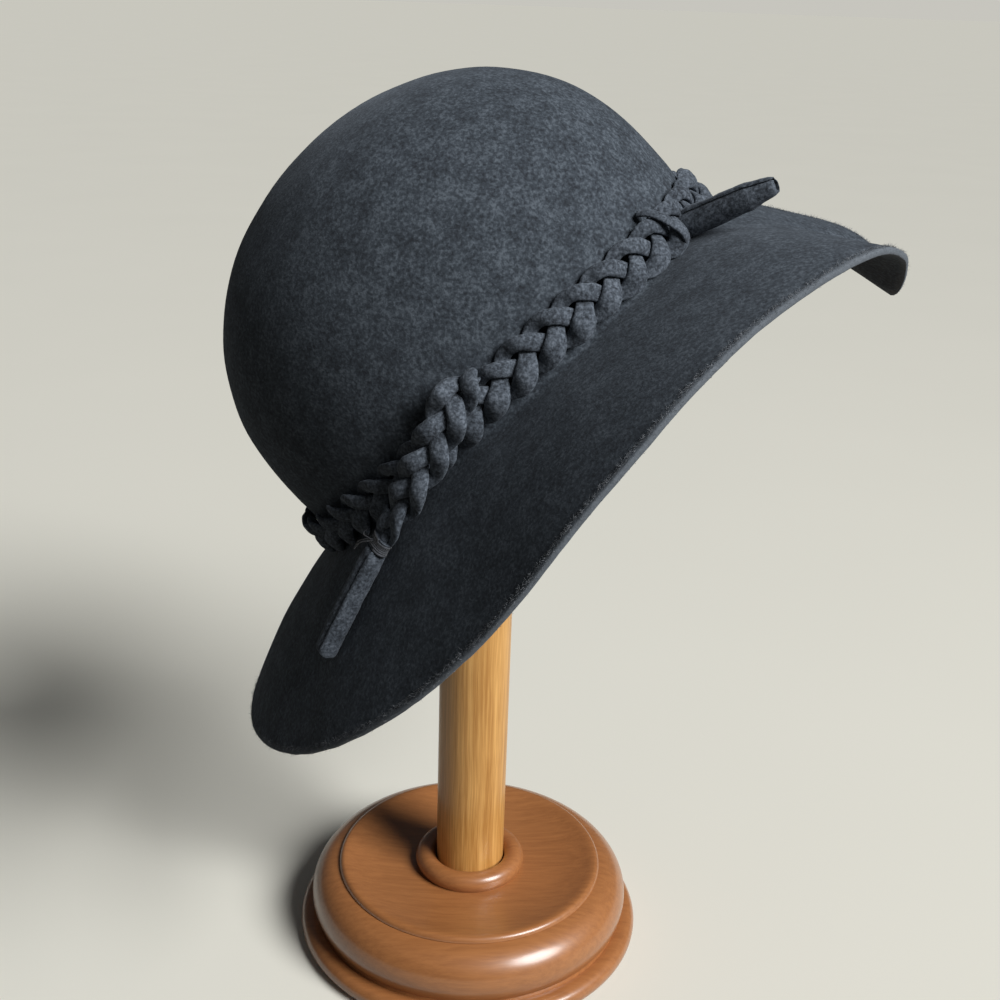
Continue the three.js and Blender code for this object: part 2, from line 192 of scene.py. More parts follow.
class FeltHatStand(bpy.types.PropertyGroup):
    height: length_of("Stand height", "From the table to the top of the head", 393)
    post: length_of("Post diameter", "Diameter of the round post", 32)
    foot: length_of("Foot radius", "Radius of the base's lowest step", 81)
    foot_height: length_of("Foot height", "Height of the base's lowest step", 9)
    groove: length_of("Groove radius", "Radius of the groove over the foot", 73)
    bead: length_of("Bead radius", "Radius of the base's big round", 75.5)
    bead_top: length_of("Bead top", "Height of the big round", 33)
    bead_width: length_of("Bead width", "Radial size of the big round", 15)
    rim: length_of("Rim radius", "Radius of the ridge round the dished top", 60)
    rim_height: length_of("Rim height", "Height of that ridge", 35.5)
    dish: length_of("Dish height", "Height of the dished top", 31)
    collar: length_of("Collar radius", "Radius of the ring round the post", 26)
    collar_height: length_of("Collar height", "Height of the ring round the post", 8)
    socket: length_of("Socket floor", "Height of the post's socket in the base", 18)
    head: length_of("Head radius", "Radius of the stand's head", 26)
    head_height: length_of("Head height", "Height of the stand's head", 28)
    head_socket: length_of("Head socket", "Depth of the post's socket in the head", 16)


class FeltHatColours(bpy.types.PropertyGroup):
    felt_dark: colour_of("Dark wool", "Darkest fibres of the felt", "#2d3035")
    felt_mid: colour_of("Grey wool", "Most of the felt's fibres", "#40464d")
    felt_pale: colour_of("Pale wool", "Palest fibres of the felt", "#5e656d")
    # Painted highlight: this paler colour along the raw-cut edge stands for light caught by the edge's
    # fuzzy fibres, and it shows even where the brim lies in shade.
    cut: colour_of("Cut edge", "Fibres along the raw-cut edge", "#74797f")
    strip_mid: colour_of("Strip wool", "Most of the strips' fibres", "#4e545c")
    strip_pale: colour_of("Pale strip wool", "Palest fibres of the strips", "#727983")
    loose: colour_of("Loose wool", "Single fibres that stand off the felt", "#9c9fa4")
    thread: colour_of("Thread", "Binding thread", "#4b4d53")
    base_light: colour_of("Base wood", "Lighter grain of the base", "#ad7141")
    base_dark: colour_of("Base grain", "Darker grain of the base", "#8f5931")
    post_light: colour_of("Post wood", "Lighter grain of the post", "#e4ad64")
    post_dark: colour_of("Post grain", "Darker grain of the post", "#b27a37")
    floor: colour_of("Floor", "Plain pale floor", "#ebe7db")


class FeltHatStage(bpy.types.PropertyGroup):
    camera: FloatVectorProperty(name="Camera", description="Where the camera stands", size=3,
                                subtype="TRANSLATION", default=(0.0, -0.52587, 0.42027))
    pitch: angle_of("Camera pitch", "How far the camera looks down", 21.0)
    bank: angle_of("Camera roll", "How far the camera is turned about its view", 1.92)
    heading: angle_of("Camera heading", "How far the camera looks right of straight on", 0.97)
    lens: FloatProperty(name="Lens", description="Focal length", default=46.8,
                        subtype="DISTANCE_CAMERA")
    key_from: FloatVectorProperty(name="Key direction", description="Where the main light comes from",
                                  size=3, subtype="DIRECTION", default=(0.63, -0.45, 0.635))
    key: FloatProperty(name="Key light", description="Strength of the far main light", default=3.35)
    key_size: angle_of("Key size", "How wide the far main light looks", 30)
    near_watts: FloatProperty(name="Near light", description="Power of the softbox on the key's side",
                              default=7.0)
    fill: FloatProperty(name="Fill light", description="Strength of the light all round", default=0.058)


def settings():
    return bpy.context.scene


# Finding and placing

def hat_matrix():
    felt = settings().felt_hat_felt
    turned = Euler((felt.roll, -felt.tilt, felt.turn), "XYZ").to_matrix().to_4x4()
    return Matrix.Translation(felt.place) @ turned


def as_worn(directions):
    """Directions of the hat's frame as the hat is turned on its stand."""
    return directions @ np.array(hat_matrix().to_3x3()).T


def in_world(points):
    """Points of the hat's frame where the hat sits on its stand."""
    return as_worn(points) + np.array(hat_matrix().translation)


def brim_value(column, azimuth):
    """One column of BRIM_ROUND at azimuths in degrees, smooth all the way round."""
    azimuth = (np.asarray(azimuth, float) + 180) % 360 - 180
    rows = np.array(BRIM_ROUND, float)
    at, value = rows[:, 0], rows[:, column]
    i = np.clip(np.searchsorted(at, azimuth, side="right") - 1, 0, len(at) - 2)
    last = len(at) - 2
    gap = at[i + 1] - at[i]
    before = np.where(i > 0, gap / 2 / (at[i] - at[i - 1]), gap / 2 / (at[-1] - at[-2]))
    after = np.where(i < last, gap / 2 / (at[np.minimum(i + 2, last + 1)] - at[i + 1] + (i == last)),
                     gap / 2 / (at[1] - at[0]))
    behind = np.where(i > 0, value[i - 1], value[-2])
    ahead = np.where(i < last, value[np.minimum(i + 2, last + 1)], value[1])
    t = (azimuth - at[i]) / gap
    t2, t3 = t * t, t * t * t
    return (behind * before * (-t3 + 2 * t2 - t)
            + value[i] * ((1 + before) * t3 + (-1.5 - 2 * before) * t2 + (before - 0.5) * t + 1)
            + value[i + 1] * ((-1 - after) * t3 + (1.5 + after) * t2 + 0.5 * t)
            + ahead * after * (t3 - t2))


def crown_foot(azimuth, out=0.0):
    """Points on the crown's foot, and so far straight out of it."""
    felt = settings().felt_hat_felt
    angle = np.radians(azimuth)
    a, b = felt.crown_length / 2, felt.crown_width / 2
    outward = np.stack([b * np.cos(angle), a * np.sin(angle), 0 * angle], -1)
    outward /= np.linalg.norm(outward, axis=-1, keepdims=True)
    foot = np.stack([a * np.cos(angle), b * np.sin(angle), 0 * angle], -1)
    return foot + outward * np.asarray(out, float)[..., None]


def brim_point(azimuth, out):
    """Points on the brim's upper face: out is 0 at the crown and 1 at the edge."""
    felt = settings().felt_hat_felt
    azimuth, out = np.broadcast_arrays(np.asarray(azimuth, float), np.asarray(out, float))
    drop = np.radians(brim_value(1, azimuth))
    reach = felt.reach * brim_value(2, azimuth)
    curl = brim_value(3, azimuth)
    point = crown_foot(azimuth, reach * np.cos(drop) * out)
    point[..., 2] = -reach * np.sin(drop) * out * (1 - curl + curl * out)
    return point


def crown_point(azimuth, height):
    """Points on the outside of the crown, at heights above its foot."""
    felt = settings().felt_hat_felt
    azimuth, height = np.broadcast_arrays(np.asarray(azimuth, float), np.asarray(height, float))
    rise = np.maximum(0, height - felt.upright) / felt.dome
    swell = 1 + 2 * felt.bulge / felt.crown_width * np.minimum(1, height / felt.upright)
    size = swell * np.sqrt(np.maximum(0, 1 - rise ** felt.fullness))
    point = crown_foot(azimuth) * size[..., None]
    point[..., 0] += felt.lean * height / (felt.upright + felt.dome)
    point[..., 2] = height
    return point


def unit(vectors):
    return vectors / np.maximum(np.linalg.norm(vectors, axis=-1, keepdims=True), 1e-12)


def off_brim(azimuth, out):
    """Direction straight off the brim's upper face."""
    here = brim_point(azimuth, out)
    return unit(np.cross(brim_point(azimuth, out + 0.01) - here,
                         brim_point(azimuth + 0.5, out) - here))


class Line:
    """A smooth line through points, measured along its length."""

    def __init__(self, points, samples=80):
        points = [np.array(p, float) for p in points]
        ends = [2 * points[0] - points[1], *points, 2 * points[-1] - points[-2]]
        run = []
        for p0, p1, p2, p3 in zip(ends, ends[1:], ends[2:], ends[3:]):
            d0, d1, d2 = (max(np.linalg.norm(b - a) ** 0.5, 1e-4)
                          for a, b in ((p0, p1), (p1, p2), (p2, p3)))
            start = ((p1 - p0) / d0 - (p2 - p0) / (d0 + d1) + (p2 - p1) / d1) * d1
            stop = ((p2 - p1) / d1 - (p3 - p1) / (d1 + d2) + (p3 - p2) / d2) * d1
            t = np.linspace(0, 1, samples, endpoint=False)[:, None]
            run.append(p1 + start * t + (3 * (p2 - p1) - 2 * start - stop) * t ** 2
                       + (2 * (p1 - p2) + start + stop) * t ** 3)
        self.points = np.concatenate([*run, points[-1][None]])
        steps = np.linalg.norm(np.diff(self.points, axis=0), axis=1)
        self.along = np.concatenate([[0], np.cumsum(steps)])
        self.length = self.along[-1]

    def at(self, length):
        length = np.asarray(length, float)
        inside = np.clip(length, 0, self.length)
        point = np.stack([np.interp(inside, self.along, self.points[:, k]) for k in range(3)], -1)
        return point + self.direction(inside) * (length - inside)[..., None]

    def direction(self, length):
        step = 0.4 * MM
        low = np.clip(np.asarray(length, float) - step, 0, self.length - 2 * step)
        ahead, behind = (np.stack([np.interp(low + s, self.along, self.points[:, k])
                                   for k in range(3)], -1) for s in (2 * step, 0))
        return unit(ahead - behind)


# Making meshes

def only(made):
    """Selects one object and nothing else."""
    bpy.ops.object.select_all(action="DESELECT")
    made.select_set(True)
    bpy.context.view_layer.objects.active = made


def finish_piece(made, name, material, nodes=(), smooth=None):
    """Names a piece, gives it its finish, hangs it on the root body and hides the model's nodes that it
    stands for.
    """
    made.name = made.data.name = name
    made.data.materials.clear()
    made.data.materials.append(material)
    only(made)
    if smooth is None:
        bpy.ops.object.shade_smooth()
    else:
        bpy.ops.object.shade_smooth_by_angle(angle=math.radians(smooth))
    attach(made, "root")
    if nodes:
        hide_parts(*nodes)


def select_places(made, places):
    """In edit mode, selects the vertices that lie at given places."""
    near = kdtree.KDTree(len(places))
    for i, place in enumerate(places):
        near.insert(place, i)
    near.balance()
    bpy.ops.mesh.select_mode(type="VERT")
    bpy.ops.mesh.select_all(action="DESELECT")
    bpy.ops.object.mode_set(mode="OBJECT")
    for vertex in made.data.vertices:
        vertex.select = near.find(vertex.co)[2] < 0.01 * MM
    bpy.ops.object.mode_set(mode="EDIT")


def surface(points, closed_ends=True):
    """A mesh over a grid of points of the hat's frame, rows by places round, each row closing on
    itself."""
    rows, around = points.shape[:2]
    bpy.ops.object.select_all(action="DESELECT")
    bpy.ops.mesh.primitive_grid_add(x_subdivisions=around, y_subdivisions=rows - 1, size=1)
    made = bpy.context.object
    grid = in_world(np.concatenate([points, points[:, :1]], axis=1).reshape(-1, 3))
    made.data.vertices.foreach_set("co", grid.astype(np.float32).ravel())
    made.location = (0, 0, 0)
    for layer in list(made.data.uv_layers):
        made.data.uv_layers.remove(layer)
    bpy.ops.object.mode_set(mode="EDIT")
    bpy.ops.mesh.select_all(action="SELECT")
    bpy.ops.mesh.remove_doubles(threshold=1e-6)
    if closed_ends:
        for end in (grid[:around], grid[-around:]):
            select_places(made, end)
            bpy.ops.mesh.fill()
        bpy.ops.mesh.select_all(action="SELECT")
    bpy.ops.mesh.normals_make_consistent(inside=False)
    bpy.ops.object.mode_set(mode="OBJECT")
    return made


def turned_piece(profile, sides=128):
    """A turned body: a disc extruded and resized ring by ring up a (radius, height) profile."""
    bpy.ops.object.select_all(action="DESELECT")
    (radius, height), *rest = profile
    bpy.ops.mesh.primitive_circle_add(vertices=sides, radius=radius, fill_type="NGON",
                                      location=(0, 0, height))
    made = bpy.context.object
    bpy.ops.object.transform_apply(location=True, rotation=False, scale=False)
    bpy.ops.object.mode_set(mode="EDIT")
    bpy.ops.mesh.select_all(action="SELECT")
    for new_radius, new_height in rest:
        bpy.ops.mesh.extrude_region_move(
            TRANSFORM_OT_translate={"value": (0, 0, new_height - height)})
        scale = new_radius / radius
        bpy.ops.transform.resize(value=(scale, scale, 1), center_override=(0, 0, new_height))
        radius, height = new_radius, new_height
    bpy.ops.mesh.select_all(action="SELECT")
    bpy.ops.mesh.normals_make_consistent(inside=False)
    bpy.ops.object.mode_set(mode="OBJECT")
    return made


def arc(radius, height, size_out, size_up, start, stop, steps):
    """Points on a rounded stretch of a profile, between two angles in degrees."""
    return [(radius + size_out * math.cos(math.radians(a)), height + size_up * math.sin(math.radians(a)))
            for a in np.linspace(start, stop, steps + 1)]


def random_run(count, seed):
    """Even random numbers from -1 to 1."""
    rng = random.Random(seed)
    return [rng.uniform(-1, 1) for _ in range(count)]


def soft_noise(points, size, seed=0.0):
    """Smooth noise from -1 to 1 with features of a given size, at many points."""
    shift = Vector((seed, 2 * seed, -seed))
    return np.array([noise.noise(Vector(p) / size + shift) for p in points.reshape(-1, 3)]
                    ).reshape(points.shape[:-1])


# Materials

def add_node(tree, kind, inputs=(), stops=(), **values):
    """Adds a node with its settings, its input values or links, and a ramp's stops."""
    made = tree.nodes.new(kind)
    for key, value in values.items():
        setattr(made, key, value)
    for key, value in dict(inputs).items():
        socket = made.inputs[key]
        if isinstance(value, bpy.types.NodeSocket):
            tree.links.new(value, socket)
        else:
            socket.default_value = value
    for i, (place, colour) in enumerate(stops):
        ramp = made.color_ramp.elements
        stop = ramp[i] if i < 2 else ramp.new(place)
        stop.position, stop.color = place, colour
    return made


def start_material(name):
    """A new material, its node tree, and the place on the object that its patterns follow."""
    made = bpy.data.materials.new(name)
    made.use_nodes = True
    made.node_tree.nodes.clear()
    place = add_node(made.node_tree, "ShaderNodeTexCoord").outputs["Object"]
    return made, made.node_tree, place


def end_material(material, tree, inputs):
    """Gives a material its one surface shader."""
    shader = add_node(tree, "ShaderNodeBsdfPrincipled", inputs)
    add_node(tree, "ShaderNodeOutputMaterial", {"Surface": shader.outputs["BSDF"]})
    return material


def mottle(tree, place, size, detail, output="Fac", **more):
    """Noise with features of a size in millimetres."""
    return add_node(tree, "ShaderNodeTexNoise", {
        "Vector": place, "Scale": 1 / (size * MM), "Detail": detail, **more}).outputs[output]


def share_of(tree, one, share, other):
    """A share of one value on top of another."""
    return add_node(tree, "ShaderNodeMath", {0: one, 1: share, 2: other},
                    operation="MULTIPLY_ADD").outputs[0]


def bumps(tree, height, strength, depth):
    """A fine relief, its depth in millimetres."""
    return add_node(tree, "ShaderNodeBump", {
        "Height": height, "Strength": strength, "Distance": depth * MM}).outputs["Normal"]


def toned(tree, colour, grey, low, high, dim, bright):
    """A colour times dim where a value is low and times bright where it is high."""
    tone = add_node(tree, "ShaderNodeMapRange", {
        "Value": grey, "From Min": low, "From Max": high, "To Min": dim, "To Max": bright}).outputs[0]
    return add_node(tree, "ShaderNodeMix", {0: 1.0, 6: colour, 7: tone}, data_type="RGBA",
                    blend_type="MULTIPLY").outputs[2]


def wool_felt(name, dark, mid, pale, cut=None, tuft=1.4):
    """Pressed wool felt: carded wool of mixed greys, so soft darker and paler tufts of about 2 mm
    show under short surface hairs, with no gloss and a soft bright edge. Given a cut colour, it paints
    a highlight along the raw-cut edge: a paler colour that stands for light caught by the edge's fuzz."""
    material, tree, place = start_material(name)
    tufts = mottle(tree, place, tuft, 4.0, Roughness=0.65, Distortion=0.3)
    clouds = mottle(tree, place, 8, 2.0, Roughness=0.5)
    hairs = mottle(tree, place, 1.1, 2.0, Roughness=0.6, Distortion=1.8)
    mixed = share_of(tree, clouds, 0.35, tufts)
    colour = add_node(tree, "ShaderNodeValToRGB", {"Fac": mixed}, stops=(
        (0.50, dark), (0.87, pale), (0.68, mid))).outputs["Color"]
    # Painted highlight: near the raw-cut edge the cut colour is mixed in, as if light caught the edge's
    # fuzz. The hair noise gives it a ragged border.
    if cut:
        near = add_node(tree, "ShaderNodeAttribute", attribute_name="painted_edge_highlight").outputs["Fac"]
        edge_highlight_mask = share_of(tree, hairs, 0.9, near)
        share = add_node(tree, "ShaderNodeMapRange", {
            "Value": edge_highlight_mask, "From Min": 0.8, "From Max": 1.6, "To Min": 0.0, "To Max": 0.8}).outputs[0]
        colour = add_node(tree, "ShaderNodeMix", {0: share, 6: colour, 7: cut},
                          data_type="RGBA").outputs[2]
    bump = bumps(tree, share_of(tree, hairs, 0.5, tufts), 0.35, 0.5)
    return end_material(material, tree, {
        "Base Color": colour, "Roughness": 0.95, "Normal": bump, "Sheen Weight": 0.12,
        "Sheen Roughness": 0.5, "Sheen Tint": (0.80, 0.88, 1.0, 1.0), "Specular IOR Level": 0.1})


def loose_wool(name, colour):
    """Single wool fibres: matt, each a little darker or paler along its length."""
    material, tree, place = start_material(name)
    shade = toned(tree, colour, mottle(tree, place, 3, 1.0), 0.35, 0.65, 0.35, 1.0)
    return end_material(material, tree, {
        "Base Color": shade, "Roughness": 0.7, "Specular IOR Level": 0.2})


def cotton_thread(name, colour):
    """Twisted cotton sewing thread: matt, a little paler on its raised fibres."""
    material, tree, place = start_material(name)
    fibres = mottle(tree, place, 0.5, 3.0)
    return end_material(material, tree, {
        "Base Color": toned(tree, colour, fibres, 0.3, 0.7, 0.6, 1.25), "Roughness": 0.8,
        "Normal": bumps(tree, fibres, 0.5, 0.2), "Sheen Weight": 0.2})


def varnished_wood(name, light, dark, stretch, ring, roughness, coat, contrast, wander_by=0.01):
    """Varnished wood: long grain lines along the board, fine pores, and a clear coat over them.
    stretch is how much longer than wide the grain is along X, Y and Z, and ring its spacing."""
    material, tree, place = start_material(name)
    wander = mottle(tree, place, 60, 2.0, output="Color")
    bent = add_node(tree, "ShaderNodeMix", {0: wander_by, 4: place, 5: wander},
                    data_type="VECTOR").outputs[1]
    along = add_node(tree, "ShaderNodeMapping", {
        "Vector": bent, "Scale": [1 / s for s in stretch]}).outputs["Vector"]
    grain = mottle(tree, along, ring, 5.0, Roughness=0.6)
    pores = mottle(tree, along, 0.22 * ring, 2.0, Roughness=0.5)
    blotch = mottle(tree, place, 45, 2.0)
    mixed = share_of(tree, blotch, 0.3, share_of(tree, pores, 0.35, grain))
    middle, spread = 0.82, 0.16 / contrast
    colour = add_node(tree, "ShaderNodeValToRGB", {"Fac": mixed}, stops=(
        (middle - spread, dark), (middle + spread, light))).outputs["Color"]
    return end_material(material, tree, {
        "Base Color": colour, "Roughness": roughness, "Normal": bumps(tree, pores, 0.12, 0.15),
        "IOR": 1.5, "Coat Weight": coat, "Coat Roughness": 0.2, "Coat IOR": 1.5})


def painted_floor(name, colour):
    """Plain matt floor with a very faint cloudiness, so that it doesn't look like cut paper. It
    throws little of the light back up, so the hat's far side stays dark."""
    material, tree, place = start_material(name)
    shade = toned(tree, colour, mottle(tree, place, 250, 2.0), 0.0, 1.0, 0.97, 1.0)
    bounced = add_node(tree, "ShaderNodeLightPath").outputs["Is Diffuse Ray"]
    shade = add_node(tree, "ShaderNodeMix", {0: bounced, 6: shade, 7: (0.15, 0.14, 0.12, 1.0)},
                     data_type="RGBA").outputs[2]
    return end_material(material, tree, {
        "Base Color": shade, "Roughness": 1.0, "Specular IOR Level": 0.0})


def material_for(name):
    """The named finish, made once."""
    if name in bpy.data.materials:
        return bpy.data.materials[name]
    c = settings().felt_hat_colours
    makers = {
        "blocked_wool_felt": lambda: wool_felt(name, c.felt_dark, c.felt_mid, c.felt_pale, c.cut),
        "cut_wool_felt_strip": lambda: wool_felt(name, c.felt_dark, c.strip_mid, c.strip_pale,
                                                 tuft=1.2),
        "loose_wool_fibres": lambda: loose_wool(name, c.loose),
        "cotton_thread": lambda: cotton_thread(name, c.thread),
        "varnished_beech_base": lambda: varnished_wood(
            name, c.base_light, c.base_dark, (16, 1, 1), 1.8, 0.42, 0.8, 0.4),
        "varnished_oak_post": lambda: varnished_wood(
            name, c.post_light, c.post_dark, (1, 1, 40), 2.2, 0.45, 0.3, 0.9, 0.003),
        "painted_floor": lambda: painted_floor(name, c.floor),
    }
    return makers[name]()


# Shapes

def felt_grid():
    """Outside rows of the felt from the crown's top to the brim's edge, and which are on the brim."""
    felt = settings().felt_hat_felt
    azimuth = np.linspace(0, -360, 241)[:-1]
    rows = [crown_point(azimuth, felt.upright + felt.dome * math.cos(a))
            for a in np.linspace(0.02, math.pi / 2, 40)]
    rows += [crown_point(azimuth, h) for h in np.linspace(felt.upright, felt.fillet, 7)[1:]]
    above, corner = crown_point(azimuth, felt.fillet), crown_foot(azimuth)
    beside = brim_point(azimuth, felt.fillet / felt.reach)
    rows += [(1 - t) ** 2 * above + 2 * t * (1 - t) * corner + t * t * beside
             for t in (0.2, 0.4, 0.6, 0.8, 1.0)]
    rows += [brim_point(azimuth, out) for out in np.linspace(felt.fillet / felt.reach, 1, 28)[1:]]
    rows = np.array(rows)
    along = np.gradient(rows, axis=0)
    across = np.roll(rows, -1, axis=1) - np.roll(rows, 1, axis=1)
    off = unit(np.cross(across, along))
    off[0] = (0, 0, 1)
    if off[20, 0] @ rows[20, 0] < 0:
        off = -off
    uneven = soft_noise(rows, 0.045, 3) + 0.5 * soft_noise(rows, 0.02, 8)
    rows = rows + off * (felt.unevenness * uneven)[..., None]
    return azimuth, rows, off


class FELTHAT_OT_felt(bpy.types.Operator):
    """Shapes the crown and brim as one soft felt shell with a raw-cut edge"""
    bl_idname = "felt_hat.felt"
    bl_label = "Crown and Brim"

    def execute(self, context):
        felt = context.scene.felt_hat_felt
        azimuth, rows, off = felt_grid()
        r, t = felt.edge_round, felt.thickness
        outward = unit(rows[-1] - rows[-2])
        ragged = 0.25 * MM * soft_noise(rows[-1], 0.0035, 5)
        edge = rows[-1] + outward * ragged[:, None]
        n = off[-1]
        cut = [edge - n * r + n * r * math.cos(a) + outward * r * math.sin(a)
               for a in np.radians((30, 60, 90))]
        cut += [edge - n * t / 2 + outward * (r + 0.1 * MM)]
        cut += [edge - n * (t - r) + outward * r * math.cos(a) - n * r * math.sin(a)
                for a in np.radians((0, 30, 60))]
        inside = (rows - off * t)[::-1]
        top, under = rows[0].mean(0), inside[-1].mean(0)
        loops = np.concatenate([[np.tile(top, (len(azimuth), 1))], rows, cut, inside,
                                [np.tile(under, (len(azimuth), 1))]])
        made = surface(loops, closed_ends=False)
        near = kdtree.KDTree(len(edge))
        for i, place in enumerate(in_world(edge - n * t / 2)):
            near.insert(place, i)
        near.balance()
        # Mask for the painted highlight along the raw-cut edge: 1 within about 1 mm of the edge, fading
        # to 0 at about 3 mm.
        layer = made.data.attributes.new("painted_edge_highlight", "FLOAT", "POINT")
        gap = [near.find(v.co)[2] for v in made.data.vertices]
        layer.data.foreach_set("value", [max(0.0, min(1.0, 1.5 - g / (2.2 * MM))) for g in gap])
        finish_piece(made, "hat_felt", material_for("blocked_wool_felt"),
                     nodes=("felt_body",))
        return {"FINISHED"}


def strip_rows(centre, off, width, thickness, sides=20, rough=0.0, seed=0.0):
    """Soft oval sections of a felt strip along its middle line, with a lumpy surface."""
    along = unit(np.gradient(centre, axis=0))
    off = unit(off - along * np.sum(off * along, -1, keepdims=True))
    across = np.cross(off, along)
    turn = np.linspace(0, 2 * math.pi, sides, endpoint=False)
    flat, high = np.cos(turn), np.sin(turn)
    flat = np.sign(flat) * np.abs(flat) ** 0.85
    high = np.sign(high) * np.abs(high) ** 0.9
    width = np.broadcast_to(width, centre.shape[:1])[:, None, None]
    thickness = np.broadcast_to(thickness, centre.shape[:1])[:, None, None]
    rows = (centre[:, None] + across[:, None] * flat[None, :, None] * width / 2
            + off[:, None] * high[None, :, None] * thickness / 2)
    if rough:
        lumps = soft_noise(rows, 3.5 * MM, seed) + 0.5 * soft_noise(rows, 1.4 * MM, seed + 4)
        rows = rows + unit(rows - centre[:, None]) * (rough * lumps)[..., None]
    return rows


def strip_piece(rows, name, nodes=(), closed_ends=True, smooth=None):
    """A finished piece of cut felt strip."""
    finish_piece(surface(rows, closed_ends), name, material_for("cut_wool_felt_strip"),
                 nodes, smooth)


class FELTHAT_OT_band(bpy.types.Operator):
    """Braids three felt strips into the band round the crown"""
    bl_idname = "felt_hat.band"
    bl_label = "Braided Band"

    def execute(self, context):
        felt, braid = context.scene.felt_hat_felt, context.scene.felt_hat_braid
        out = braid.seat + braid.band_lift + braid.band_thickness / 2 + felt.bulge
        a, b = felt.crown_length / 2 + out, felt.crown_width / 2 + out
        fine = np.linspace(0, 2 * math.pi, 4001)
        oval = np.stack([a * np.cos(fine), b * np.sin(fine)], -1)
        along = np.concatenate([[0], np.cumsum(np.linalg.norm(np.diff(oval, axis=0), axis=1))])
        steps = 44 * braid.band_swings
        u = np.arange(steps) / steps
        x, y = (np.interp(u * along[-1], along, oval[:, k]) for k in range(2))
        angle = np.arctan2(y / felt.crown_width, x / felt.crown_length) - braid.rise_at
        rise = braid.rise * np.maximum(0, np.cos(angle)) ** 8
        middle = np.stack([x, y, braid.band_height + rise], -1)
        off = unit(np.stack([x / a ** 2, y / b ** 2, 0 * x], -1))
        up = np.array([0.0, 0.0, 1.0])
        for strip in range(3):
            swing = 2 * math.pi * (braid.band_swings * u + strip / 3)
            loose = 1 + 0.07 * np.interp(u, np.linspace(0, 1, 61),
                                         [0.0, *random_run(59, 11 + strip), 0.0])
            centre = (middle + up * (braid.band_spread * loose * np.sin(swing))[:, None]
                      - off * (braid.band_lift * np.sin(2 * swing))[:, None])
            shown = (0.5 - 0.5 * np.sin(2 * swing)) * (1 + 0.25 * np.interp(
                u, np.linspace(0, 1, 91), [0.0, *random_run(89, 31 + strip), 0.0]))
            loop = [*range(steps), 0]
            low = shown * (0.5 - 0.5 * np.sin(swing))
            rows = strip_rows(centre[loop], off[loop],
                              braid.band_width * (0.84 + 0.55 * low[loop]),
                              braid.band_thickness * (
                                  1 + braid.puff * (0.55 * shown[loop] + 0.8 * low[loop])),
                              rough=0.3 * MM, seed=3.0 * strip)
            rows[-1] = rows[0]
            strip_piece(rows, f"band_strip_{strip + 1}", (f"band_strand_{strip + 1}",),
                        closed_ends=False)
        return {"FINISHED"}


def band_face():
    """How far the band's outside stands off the crown's foot."""
    felt, braid = settings().felt_hat_felt, settings().felt_hat_braid
    return braid.seat + 2 * braid.band_lift + braid.band_thickness + felt.bulge


def tail_out():
    """How far the tail's middle stands off the crown's foot where it lies on the band."""
    braid = settings().felt_hat_braid
    return band_face() + braid.tail_gap + braid.tail_lift + braid.tail_thickness / 2


def tail_line(tucked=False):
    """The tail's line. A tucked line starts behind the band's upper edge."""
    points = []
    if tucked:
        points += [crown_foot(np.float64(azimuth), out * MM) + np.array([0, 0, height * MM])
                   for azimuth, out, height in TAIL_TUCK]
    points += [crown_foot(np.float64(azimuth), tail_out() - sunk * MM)
               + np.array([0, 0, height * MM]) for azimuth, height, sunk in TAIL_ON_BAND]
    points += [brim_point(azimuth, out) + off_brim(azimuth, out) * ride * MM
               for azimuth, out, ride in TAIL_ON_BRIM]
    return Line(points)


def tail_frame(line, length, lead=0.0):
    """Middle points and off directions at lengths along the tail's line. lead is the line's length
    before the band's outside, where the off direction is straight out of the band."""
    felt, braid = settings().felt_hat_felt, settings().felt_hat_braid
    middle, along = line.at(length), line.direction(length)
    azimuth = np.degrees(np.arctan2(middle[:, 1] / felt.crown_width, middle[:, 0] / felt.crown_length))
    off_band = crown_foot(azimuth, 1.0) - crown_foot(azimuth)
    t = np.clip((length - lead - 0.3 * braid.tail_length) / (0.7 * braid.tail_length), 0, 1)
    t = (t * t * (3 - 2 * t))[:, None]
    off = (1 - t) * off_band + t * off_brim(azimuth, 0.3)
    return middle, along, unit(off - along * np.sum(off * along, -1, keepdims=True))


class FELTHAT_OT_tail(bpy.types.Operator):
    """Braids the tail that comes over the band and down onto the brim"""
    bl_idname = "felt_hat.tail"
    bl_label = "Braided Tail"

    def execute(self, context):
        braid = context.scene.felt_hat_braid
        line = tail_line(tucked=True)
        lead = line.length - tail_line().length
        length = np.linspace(0, lead + braid.tail_length + 2 * MM, 150)
        middle, along, off = tail_frame(line, length, lead)
        over = np.clip(1 - length / lead, 0, 1)[:, None]
        off = unit(off * (1 - over) + np.array([0, 0, 1.0]) * over)
        side = np.cross(off, along)
        gather = 0.5 + 0.5 * np.clip((length[-1] - length) / (14 * MM), 0, 1) ** 0.7
        for strip in range(3):
            swing = 2 * math.pi * ((length - lead) / braid.tail_pitch + strip / 3)
            centre = (middle + side * (braid.tail_spread * gather * np.sin(swing))[:, None]
                      + off * (braid.tail_lift * gather * np.sin(2 * swing))[:, None])
            shown = 0.5 + 0.5 * np.sin(2 * swing)
            ends = np.sqrt(np.clip(np.minimum(length, length[-1] - length) / (1.5 * MM), 0.05, 1))
            rows = strip_rows(centre, off, braid.tail_width * (0.9 + 0.14 * shown) * ends,
                              braid.tail_thickness * (1 + 0.6 * braid.puff * shown) * ends,
                              rough=0.25 * MM, seed=20.0 + 3 * strip)
            strip_piece(rows, f"tail_strip_{strip + 1}", (f"tail_strand_{strip + 1}",))
        return {"FINISHED"}


